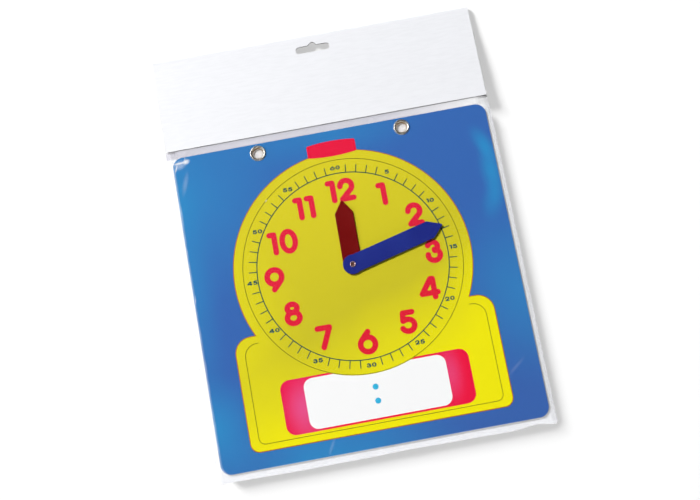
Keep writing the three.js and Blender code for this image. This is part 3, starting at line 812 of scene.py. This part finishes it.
# %% Hands with rounded edges
hand_edge_radius = 0.16 * millimetre
hand_edge_segments = 3
flat_within = math.radians(0.5)
sharp_above = math.radians(60)
hand_smooth_degrees = 35
flat_face_weight = 100
for hand, finish in (("hour_hand", "red_plastic"), ("minute_hand", "blue_plastic")):
    blade = welded_copy(f"{hand}_blade", hand)
    edit_all(blade)
    bpy.ops.mesh.dissolve_limited(angle_limit=flat_within)
    bpy.ops.mesh.select_all(action="DESELECT")
    bpy.ops.mesh.select_mode(type="EDGE")
    bpy.ops.mesh.edges_select_sharp(sharpness=sharp_above)
    bpy.ops.mesh.bevel(offset=hand_edge_radius, segments=hand_edge_segments)
    bpy.ops.mesh.select_mode(type="VERT")
    finish_mesh(blade, hand_smooth_degrees)
    apply_modifier(blade, "WEIGHTED_NORMAL", weight=flat_face_weight)
    dress(blade, finish)
    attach(blade, hand)
    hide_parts(hand)

# %% [markdown]
# ## Eyelets and rivet
# An eyelet is a short tube whose front end flares out like a trumpet and rolls over into a ring.
# The section of its wall is drawn once with the pen, as a closed loop, and spun round the hole's
# axis. Its sizes are read from the node that it replaces, apart from the hole and the wall. The
# rivet is turned the same way. It has a floor a little way down, with a pin hole.

# %% Turned metal parts
turning_steps = 96
crown_steps = 10
metal_smooth_degrees = 40
crest_share = 0.6
throat_depth_share = 0.3
barrel_end_round = 0.15 * millimetre
pin_hole_share = 0.3
floor_dish = 0.25 * millimetre


def eyelet_section(middle, hole_radius, wall, flange_radius, back, seat, top, floor_depth):
    """The wall's section as a closed loop, from the barrel's back end round the rolled flange."""
    crest = hole_radius + crest_share * (flange_radius - hole_radius)
    throat = seat - throat_depth_share * (top - seat)
    roll = arc_points((crest, seat), flange_radius - crest, top - seat, 0, 90, crown_steps)
    flare = arc_points((crest, throat), crest - hole_radius, top - throat, 90, 180, crown_steps)
    barrel = hole_radius + wall
    loop = [(barrel - barrel_end_round, back), (barrel, back + barrel_end_round), (barrel, seat)]
    loop += roll + flare[1:]
    inner = hole_radius
    if floor_depth:
        inner = pin_hole_share * hole_radius
        shelf = top - floor_depth
        loop += [(hole_radius, shelf + floor_dish), (hole_radius - floor_dish, shelf)]
        loop.append((inner, shelf))
    loop += [(inner, back + barrel_end_round), (inner + barrel_end_round, back)]
    return [(middle.x + radius, middle.y, height) for radius, height in loop]


def turned_eyelet(name, node, hole_radius, wall, seat, finish, flange_share=1.0, floor_depth=0):
    low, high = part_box(node)
    middle = (low + high) / 2
    flange_radius = flange_share * (high.x - low.x) / 2
    section = eyelet_section(
        middle, hole_radius, wall, flange_radius, low.z, seat, high.z, floor_depth
    )
    piece = draw(name, section)
    axis_point = (middle.x, middle.y, 0)
    bpy.ops.mesh.spin(steps=turning_steps, angle=math.tau, center=axis_point, axis=(0, 0, 1))
    finish_mesh(piece, metal_smooth_degrees)
    dress(piece, finish)
    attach(piece, "board")
    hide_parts(node)
    return piece


board_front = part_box("front_sheet")[1].z
hand_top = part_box("minute_hand")[1].z
hand_play = 0.15 * millimetre
eyelet_hole_radius = 5 * millimetre
eyelet_wall = 0.6 * millimetre
rivet_hole_radius = 1.7 * millimetre
rivet_wall = 0.45 * millimetre
for side in ("left", "right"):
    name = f"hanging_eyelet_{side}"
    turned_eyelet(f"{name}_ring", name, eyelet_hole_radius, eyelet_wall, board_front, "nickel")
rivet_seat = hand_top + hand_play
rivet_flange_share = 0.9
rivet_floor_depth = 1.1 * millimetre
turned_eyelet(
    "pivot_rivet_ring",
    "pivot_rivet",
    rivet_hole_radius,
    rivet_wall,
    rivet_seat,
    "rivet_nickel",
    rivet_flange_share,
    rivet_floor_depth,
)

# %% [markdown]
# ## Header card
# The header is one sheet of coated card. It is cut flat, creased across its middle and folded over
# the bag's closed end. A grid of the unfolded sheet is bent along the folded path in code, because
# the bend operator needs a window, and it gets its thickness afterwards. The front panel bows a
# little, as card does after folding, and settles onto the film towards its foot.

# %% Folded sheet
card_thickness = 0.35 * millimetre
card_columns = 64
card_rows = 96
card_smooth_degrees = 30
card_bow = 0.35 * millimetre
card_foot_drop = 1.0 * millimetre
card_drop_start_share = 0.45
card_wave = 0.12 * millimetre
card_wave_scale = 14
card_low, card_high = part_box("header_card")
fold_radius = 0.575 * millimetre
fold_height = fold_radius + card_thickness / 2
fold_line = card_high.y - fold_height
panel_length = fold_line - card_low.y
front_foot_height = card_high.z - card_thickness / 2
front_rise = front_foot_height - fold_height - fold_radius
fold_length = math.pi * fold_radius
sheet_length = 2 * panel_length + fold_length


def folded_place(x, distance):
    """Where a point of the flat sheet comes to lie. The distance runs from the back panel's end."""
    if distance < panel_length:
        return Vector((x, card_low.y + distance, card_thickness / 2))
    if distance < panel_length + fold_length:
        angle = (distance - panel_length) / fold_radius
        y = fold_line + fold_radius * math.sin(angle)
        return Vector((x, y, fold_height - fold_radius * math.cos(angle)))
    share = (distance - panel_length - fold_length) / panel_length
    bow = card_bow * math.sin(math.pi * share)
    wave = card_wave * noise.noise(Vector((x, share, 0)) * card_wave_scale) * share * (1 - share)
    along = max(share - card_drop_start_share, 0) / (1 - card_drop_start_share)
    drop = card_foot_drop * along * along * (3 - 2 * along)
    z = fold_height + fold_radius + front_rise * share - bow - drop + wave
    return Vector((x, fold_line - panel_length * share, z))


bpy.ops.object.select_all(action="DESELECT")
bpy.ops.mesh.primitive_grid_add(x_subdivisions=card_columns, y_subdivisions=card_rows, size=1)
card = bpy.context.object
card.name = "header_card_folded"
card_width = card_high.x - card_low.x
for vertex in card.data.vertices:
    flat_share = vertex.co.y + 0.5
    vertex.co = folded_place(vertex.co.x * card_width, flat_share * sheet_length)
print("card", round(card_width, 4), "m wide,", round(sheet_length, 4), "m long before folding")

# %% [markdown]
# The hanging slot is punched through both panels at once, so it is cut after folding, with a block
# of the slot's own outline. Its outline is a long hole with round ends and a pointed bump above,
# which finds the middle of a shop peg by itself.

# %% Hanging slot
slot_width = 33.5 * millimetre
slot_height = 7 * millimetre
slot_top_margin = 10.3 * millimetre
slot_bump_width = 11 * millimetre
slot_bump_height = 3.5 * millimetre
slot_arc_steps = 10
slot_bump_steps = 6


def slot_outline():
    """The outline as places across and up the card, counter-clockwise from the lower right."""
    end = slot_height / 2
    half = slot_width / 2 - end
    middle = card_high.y - slot_top_margin - end
    right_end = arc_points((half, middle), end, end, -90, 90, slot_arc_steps)
    left_end = arc_points((-half, middle), end, end, 90, 270, slot_arc_steps)
    bump = []
    for i in range(1, 2 * slot_bump_steps):
        share = 1 - i / slot_bump_steps
        rise = slot_bump_height * (math.cos(math.pi * share) + 1) / 2
        bump.append((share * slot_bump_width / 2, middle + end + rise))
    return right_end + bump + left_end


card.data.flip_normals()
apply_modifier(card, "SOLIDIFY", thickness=card_thickness, offset=0)
cutter = draw("slot_cutter", [(x, y, -card_high.z) for x, y in slot_outline()])
bpy.ops.mesh.edge_face_add()
bpy.ops.mesh.extrude_region_move(TRANSFORM_OT_translate={"value": (0, 0, 3 * card_high.z)})
finish_mesh(cutter, card_smooth_degrees)
apply_modifier(card, "BOOLEAN", object=cutter, operation="DIFFERENCE", solver="EXACT")
bpy.data.objects.remove(cutter)
finish_mesh(card, card_smooth_degrees)

# %% [markdown]
# Coated card is white on its faces only. Its cut edge and the slot's wall show the greyer middle of
# the card. They are the faces that stand upright, so they are found by their normals, which is
# surer than picking them one by one.

# %% Card faces and cut edges
dress(card, "white_card", "card_edge")
edge_tilt = 0.5
cut_edges = 0
for face in card.data.polygons:
    if abs(face.normal.z) < edge_tilt:
        face.material_index = 1
        cut_edges += 1
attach(card, "retail_pack")
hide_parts("header_card")
print(cut_edges, "faces on the card's cut edges")

# %% [markdown]
# ## The clear bag
# The bag is two sheets of thin clear film, welded down both sides and open at the bottom. The front
# film is drawn over the clock: highest where the hands turn, lower over the eyelets and the
# board's sides, and down to the welded seam past the board's edge. Clear film shows itself by its
# creases, so most of the work is there: puckers along the seams, gathers under the header, a sharp
# crinkle at a board corner and a few long folds.

# %% Film sizes, in millimetres
bag_low, bag_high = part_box("bag_front_film")
half_width = bag_high.x / millimetre
mouth_y = bag_low.y / millimetre
closed_y = bag_high.y / millimetre
half_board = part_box("front_sheet")[1].x / millimetre
header_mouth_y = card_low.y / millimetre
top_limit = bag_high.z / millimetre
wall_foot = half_width - 0.3
wall_top = half_board + 0.2
seam_height = 1.35
tucked_seam_height = 0.9
seam_drop_start = half_board - 12
side_height = 3.95
dome_height = 7.1
dome_sides = (96, 146)
dome_ends = (118, 150)
eyelet_lane = 70
eyelet_lane_width = 11
eyelet_lane_ends = (half_board - 4, header_mouth_y - 2)
eyelet_rise = 1.25
rivet_lane_width = 6
rivet_lane_ends = (26, 50)
rivet_rise = 0.42
header_mouth_height = 3.3
tuck_start = header_mouth_y - 1
closed_height = 0.95
closed_start = closed_y - 4
tucked_seam_rise = 0.65


def step_between(value, start, end):
    share = np.clip((value - start) / (end - start), 0, 1)
    return share * share * (3 - 2 * share)


def calm_height(x, y):
    """The height of the front film's outer face without creases, in millimetres."""
    across = np.abs(x)
    dome = (1 - step_between(across, *dome_sides)) * (1 - step_between(y, *dome_ends))
    lane = np.exp(-(((across - eyelet_lane) / eyelet_lane_width) ** 2))
    lane = lane * (1 - step_between(y, *eyelet_lane_ends))
    rivet = np.exp(-((across / rivet_lane_width) ** 2)) * (1 - step_between(y, *rivet_lane_ends))
    over_board = side_height + (dome_height - side_height) * dome + rivet_rise * rivet
    over_board = np.maximum(over_board, side_height + eyelet_rise * lane)
    tucked_heights = [header_mouth_height, closed_height, closed_height]
    tucked = np.interp(y, [tuck_start, closed_start, closed_y], tucked_heights)
    height = over_board + (tucked - over_board) * step_between(y, half_board, tuck_start)
    seam = np.interp(y, [seam_drop_start, header_mouth_y], [seam_height, tucked_seam_height])
    wall = np.interp(across, [wall_top, wall_foot], [1, 0])
    return seam + (height - seam) * wall


print("film domes to", dome_height, "mm over the hands and", side_height, "mm at the sides")


# %% [markdown]
# A crease is sharp along its ridge and soft to both sides. Folded noise, one minus its own absolute
# value, has just such ridges. Each kind of crease fades away from where it starts: a seam, the
# header, or a corner of the board.

# %% Creases
# Width, length and layer of the noise behind the creases, in millimetres. The slow swells have
# their height first.
pucker_noise = (26, 6.5, 0.4)
gather_noise = (8.5, 42, 2.1)
slow_noises = [(0.17, (34, 46, 5.3)), (0.1, (13, 19, 7.9))]
film_seed = Vector((3.7, 11.3, 0.0))
pucker_height = 0.75
pucker_reach = 9
pucker_start = half_board - 0.6
pucker_edges = (-1.2, 2.5)
gather_height = 0.34
gather_reach = 15
crinkle_calm_share = 0.35
crinkle_power = 3
# The board's corner, how far inside it the crinkle lies, its height, reach and number of folds
corner_crinkles = [
    ((-1, 1), (9, 7), 1.5, 11, 11),
    ((1, 1), (8, 8), 0.5, 10, 9),
    ((1, -1), (9, 9), 0.6, 12, 9),
    ((-1, -1), (9, 8), 0.5, 12, 10),
]
# Start, end, half width and height of each long fold, in millimetres
long_folds = [
    ((-44, -152), (-66, -96), 2.2, 0.35),
    ((-150, 96), (-118, 132), 2.0, 0.5),
    ((-152, 40), (-120, 66), 3.0, 0.45),
    ((126, 40), (150, 118), 3.0, 0.5),
    ((108, -96), (152, -128), 2.6, 0.4),
    ((-153, -84), (-126, -44), 2.6, 0.4),
    ((-62, 122), (-84, 158), 2.0, 0.35),
    ((84, 120), (112, 158), 2.2, 0.3),
]


def film_noise(x, y, width, length, layer):
    """Smooth noise from -1 to 1, for arrays of places in millimetres."""
    places = [Vector((a / width, b / length, layer)) for a, b in zip(x.ravel(), y.ravel())]
    return np.array([noise.noise(place + film_seed) for place in places]).reshape(x.shape)


def ridges(x, y, shape):
    """Folded noise: sharp ridges from 0 to 1."""
    return np.clip(1 - np.abs(film_noise(x, y, *shape)) * 2, 0, 1)


def crease_height(x, y):
    """What the creases add to the calm film, in millimetres."""
    free = pucker_start - np.abs(x)
    near_seam = np.exp(-np.clip(free, 0, None) / pucker_reach) * step_between(free, *pucker_edges)
    puckers = pucker_height * near_seam * ridges(x, y, pucker_noise)
    near_header = np.exp(-np.clip(header_mouth_y - y, 0, None) / gather_reach)
    gathers = gather_height * near_header * ridges(x, y, gather_noise)
    total = puckers + gathers + sum(rise * film_noise(x, y, *shape) for rise, shape in slow_noises)
    for corner, insets, height, reach, rays in corner_crinkles:
        corner_x, corner_y = (way * (half_board - inset) for way, inset in zip(corner, insets))
        away = np.hypot(x - corner_x, y - corner_y)
        angle = np.arctan2(y - corner_y, x - corner_x)
        fold = np.abs(np.cos(rays * angle / 2)) ** crinkle_power
        sharp = crinkle_calm_share + (1 - crinkle_calm_share) * fold
        total = total + height * np.exp(-away / reach) * sharp
    for (x0, y0), (x1, y1), half, height in long_folds:
        length = math.hypot(x1 - x0, y1 - y0)
        run = ((x - x0) * (x1 - x0) + (y - y0) * (y1 - y0)) / length
        off = np.abs((x - x0) * (y1 - y0) - (y - y0) * (x1 - x0)) / length
        ends = np.sin(np.pi * np.clip(run / length, 0, 1))
        total = total + height * ends * np.exp(-off / half)
    return total


print(len(corner_crinkles), "crinkled corners and", len(long_folds), "long folds")

# %% [markdown]
# The front film is a fine grid, closer spaced where the film turns down to the seam. Its height
# comes from the two functions above, kept under the space that the bag takes up in the frame and
# above everything that passes under it when the bag is pulled off. Solidify gives the film its real
# thickness, so that light is bent going in and straightened coming out.

# %% Front film
film_gauge = 0.1 * millimetre
film_smooth_degrees = 50
edge_zone = 7.0
edge_zone_share = 0.16
front_counts = (190, 194)
# Height, length and start of the waves that the mouth is cut with, in millimetres and radians
mouth_waves = [(0.8, 31, 0.6), (0.25, 11, 0)]
mouth_tuck = 2.2
mouth_tuck_place = 138
mouth_tuck_reach = 13
mouth_calm_start = 140
crease_calm_ends = (header_mouth_y - 2.5, header_mouth_y - 0.5)
deepest_crease = 0.22
top_room = 0.03


def spread_across(share):
    """Places across the bag in millimetres, with more columns near the seams."""
    inner = 1 - edge_zone_share
    zone = half_width - edge_zone
    return np.interp(share, [-1, -inner, inner, 1], [-half_width, -zone, zone, half_width])


def mouth_line(x):
    """The film's free lower edge, cut a little unevenly, in millimetres."""
    wave = sum(rise * (1 + np.sin(x / length + start)) / 2 for rise, length, start in mouth_waves)
    tuck = mouth_tuck * np.exp(-(((x - mouth_tuck_place) / mouth_tuck_reach) ** 2))
    return mouth_y + (wave + tuck) * (1 - step_between(x, mouth_calm_start, half_width))


def film_grid(name, columns, rows):
    """A flat sheet of film, and the places of its vertices in millimetres."""
    bpy.ops.object.select_all(action="DESELECT")
    bpy.ops.mesh.primitive_grid_add(x_subdivisions=columns, y_subdivisions=rows, size=2)
    sheet = bpy.context.object
    sheet.name = name
    flat = np.empty(len(sheet.data.vertices) * 3)
    sheet.data.vertices.foreach_get("co", flat)
    flat = flat.reshape(-1, 3)
    x = spread_across(flat[:, 0])
    mouth = mouth_line(x)
    return sheet, x, mouth + (closed_y - mouth) * ((flat[:, 1] + 1) / 2)


def finish_film(sheet, x, y, z):
    """Moves the vertices to their places and gives the film its thickness."""
    places = np.stack([x, y, z], axis=1) * millimetre
    sheet.data.vertices.foreach_set("co", places.ravel())
    sheet.data.update()
    sheet.data.flip_normals()
    apply_modifier(sheet, "SOLIDIFY", thickness=film_gauge, offset=1)
    finish_mesh(sheet, film_smooth_degrees)
    print(sheet.name, "lies", round(float(z.min()), 2), "to", round(float(z.max()), 2), "mm up")


front, x, y = film_grid("bag_front_clear_film", *front_counts)
base = calm_height(x, y)
inside_board = 1 - step_between(np.abs(x), wall_top, wall_foot)
open_air = inside_board * (1 - step_between(y, *crease_calm_ends))
creased = base + crease_height(x, y) * open_air
finish_film(front, x, y, np.clip(creased, base - deepest_crease, top_limit - top_room))

# %% [markdown]
# The back film lies on the ground under the board, so it only needs a slight swell. It is the same
# kind of grid with other heights: it rises along the sides to meet the front film in the seams, and
# at the top, where it goes into the header.

# %% Back film
back_counts = (84, 96)
back_height = 0.12
back_swell = 0.16
back_noise = (24, 30, 9.4)
back_calm_edges = (half_board - 6, half_board)
back_lift_edges = (half_board - 2.5, half_width - 0.5)
seam_gap = 0.25
back, x, y = film_grid("bag_back_clear_film", *back_counts)
tucked = np.interp(y, [half_board, header_mouth_y], [0, tucked_seam_rise])
ease = 1 - step_between(np.abs(x), *back_calm_edges)
seam_lift = np.interp(y, [seam_drop_start, header_mouth_y], [seam_height - seam_gap, 0])
lift = seam_lift * step_between(np.abs(x), *back_lift_edges)
swelled = back_swell * ease * np.abs(film_noise(x, y, *back_noise))
finish_film(back, x, y, back_height + tucked + lift + swelled)

# %% [markdown]
# Film is glass to a shader, but a bag of plain glass would throw a black shadow on what it holds.
# So for shadow and diffuse rays the film counts as a faintly tinted clear sheet, and only the eye
# and mirror rays see the glass. Clear film turns milky wherever it is crushed, creased or rubbed:
# in the margin past the board's edge and under the header, and behind the eyelets. The milk under
# the header is greyer there, as painted shade. White marks at the creases and ragged streaks along
# the left edge are painted glints, with some real whitening of the creases.

# %% Where the film is milky, and its painted glints
# Lengths in millimetres
corner_radius = 10
ragged_scale = 130
ragged_stretch_shares = (1, 0.35, 1)
ragged_limits = (0.2, 0.8)
ragged_depth = 1.4
margin_blur = 0.3
left_blur = 1.7
left_glint_inset = 0.9
left_zone = 10
front_milk_share = 0.3
band_front_milk_share = 0.85
band_edges = (half_board - 0.5, half_board + 0.5)
wall_edges = (half_board - 8, half_board - 3)
card_shade_edges = (header_mouth_y - 0.9, header_mouth_y - 0.3)
mark_share = 0.56
front_film_above = 2.2
back_film_below = 1.3
# Middle, half length and half width in millimetres, turn in degrees, share
# Painted glints: white milky marks where creases would catch the light, brightest at the upper left
# corner, with some real whitening along the creases.
glint_and_crease_marks = [
    ((-145.5, 146.8), (9, 1.5), 4, 1.0),
    ((-139, 147.2), (4.6, 3.4), 20, 1.4),
    ((-149.5, 141.5), (6.5, 1.1), 68, 0.8),
    ((-139.8, 150.5), (4.5, 0.8), 80, 0.5),
    ((-146, 145), (9, 6.5), 15, 0.45),
    ((-143, 126), (16, 3.5), 72, 0.16),
    ((-69.9, 94.4), (2.4, 1.0), 50, 0.5),
    ((-49, -144), (13, 2.2), 62, 0.1),
    ((130, -103), (17, 2.4), 38, 0.07),
    ((-151.2, 12), (8, 0.8), 84, 0.7),
    ((-151.6, 60), (11, 0.6), 92, 0.7),
]
eyelet_scuffs = [((side * eyelet_lane, 143.2), (8.5, 8.5), 0, 1.6) for side in (-1, 1)]


def between(value, low, high, edges):
    """Maps a value from two places in millimetres to low and high."""
    return spread(value, low, high, *[edge * millimetre for edge in edges])


def milkiness(place, x, y, z):
    """How milky the film is at a place, from 0 for clear film to 1, painted glints included."""
    tree = place.id_data
    straight = (half_board - corner_radius) * millimetre
    from_middle = [math_node("ABSOLUTE", value) for value in (x, y)]
    past = [math_node("SUBTRACT", value, straight) for value in from_middle]
    past = [math_node("MAXIMUM", value, 0.0) for value in past]
    corner = wire(tree, "CombineXYZ", {"X": past[0], "Y": past[1]}).outputs["Vector"]
    from_corner = vector_value("LENGTH", corner)
    past_board = math_node("SUBTRACT", from_corner, corner_radius * millimetre)
    # Near the left edge the milk reaches over the board in ragged slivers: painted glints.
    near_left = between(x, 1, 0, (-half_board, left_zone - half_board))
    stretched = wire(tree, "Mapping", {"Vector": place, "Scale": ragged_stretch_shares})
    ragged = noise_value(stretched.outputs["Vector"], ragged_scale, 3)
    shifts = [(left_glint_inset + depth) * millimetre for depth in (-ragged_depth, ragged_depth)]
    left_glint_shift = times(spread(ragged, *shifts, *ragged_limits), near_left)
    past_board = plus(past_board, left_glint_shift)
    blur = spread(near_left, margin_blur * millimetre, left_blur * millimetre)
    margin = spread(math_node("DIVIDE", past_board, blur), 0, 1, -1, 1)
    on_front = math_node("GREATER_THAN", z, front_film_above * millimetre)
    on_back = math_node("LESS_THAN", z, back_film_below * millimetre)
    band_extra = between(y, 0, band_front_milk_share - front_milk_share, band_edges)
    off_walls = between(from_middle[0], 1, 0, wall_edges)
    front_share = plus(times(band_extra, off_walls), front_milk_share)
    margin = times(margin, math_node("MAXIMUM", front_share, on_back))
    margin = times(margin, between(y, 1, 0, card_shade_edges))
    creases = times(patches(place, glint_and_crease_marks), on_front)
    scuffs = times(patches(place, eyelet_scuffs), on_back)
    marks = times(math_node("MAXIMUM", creases, scuffs), mark_share)
    milky = wire(tree, "Math", {0: margin, 1: marks}, operation="MAXIMUM", use_clamp=True)
    return milky.outputs[0]


# %% Clear film finish
film_colour = (0.995, 0.998, 1.0, 1)
film_tint = 0.995
film_roughness = 0.1
film_index = 1.38
film_ripple_scale = 95
film_crinkle_scale = 420
film_crinkle_share = 0.1
film_ripple_depth = 0.05 * millimetre
film_ripple_strength = 0.5
milk_share = 0.75
milk_roughness = 0.45
milk_white = linear("#f8f9fd")
# Painted shade: the milk in the band under the header is greyer, as if in the header's shadow, and
# pales towards the right end.
painted_band_shade = linear("#d2d1da")
painted_band_shade_right = linear("#ededef")
painted_band_shade_edges = (half_board - 0.5, half_board)
band_right_edges = (60, 140)
film, tree, glass = new_material("clear_film")
glass.inputs["Base Color"].default_value = film_colour
glass.inputs["Transmission Weight"].default_value = 1
glass.inputs["Roughness"].default_value = film_roughness
glass.inputs["IOR"].default_value = film_index
place = own_place(tree)
crinkle = times(noise_value(place, film_crinkle_scale), film_crinkle_share)
relief = plus(noise_value(place, film_ripple_scale), crinkle)
add_bump(glass, relief, film_ripple_depth, film_ripple_strength)
x, y, z = wire(tree, "SeparateXYZ", {"Vector": place}).outputs
milky = milkiness(place, x, y, z)
painted_band_shade_colour = blend(between(x, 0, 1, band_right_edges), painted_band_shade, painted_band_shade_right)
milk_with_painted_shade = blend(between(y, 0, 1, painted_band_shade_edges), milk_white, painted_band_shade_colour)
milk = wire(tree, "BsdfPrincipled", {"Base Color": milk_with_painted_shade, "Roughness": milk_roughness})
add_bump(milk, relief, film_ripple_depth, film_ripple_strength)
body = wire(
    tree,
    "MixShader",
    {"Fac": spread(milky, 0, milk_share), 1: glass.outputs["BSDF"], 2: milk.outputs["BSDF"]},
)
path = wire(tree, "LightPath")
unseen = math_node("MAXIMUM", path.outputs["Is Shadow Ray"], path.outputs["Is Diffuse Ray"])
clear = wire(tree, "BsdfTransparent", {"Color": (film_tint, film_tint, film_tint, 1)})
both = wire(
    tree, "MixShader", {"Fac": unseen, 1: body.outputs["Shader"], 2: clear.outputs["BSDF"]}
)
link_all(tree.nodes["Material Output"].inputs, Surface=both.outputs["Shader"])
finishes["clear_film"] = film
for sheet, node in ((front, "bag_front_film"), (back, "bag_back_film")):
    dress(sheet, "clear_film")
    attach(sheet, "retail_pack")
    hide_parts(node)
    glint_takers.objects.link(sheet)
for kept_out in glint_takers.collection_objects:
    kept_out.light_linking.link_state = "EXCLUDE"
print("film lets through", round(film_tint**2, 3), "of a lamp's light per sheet")
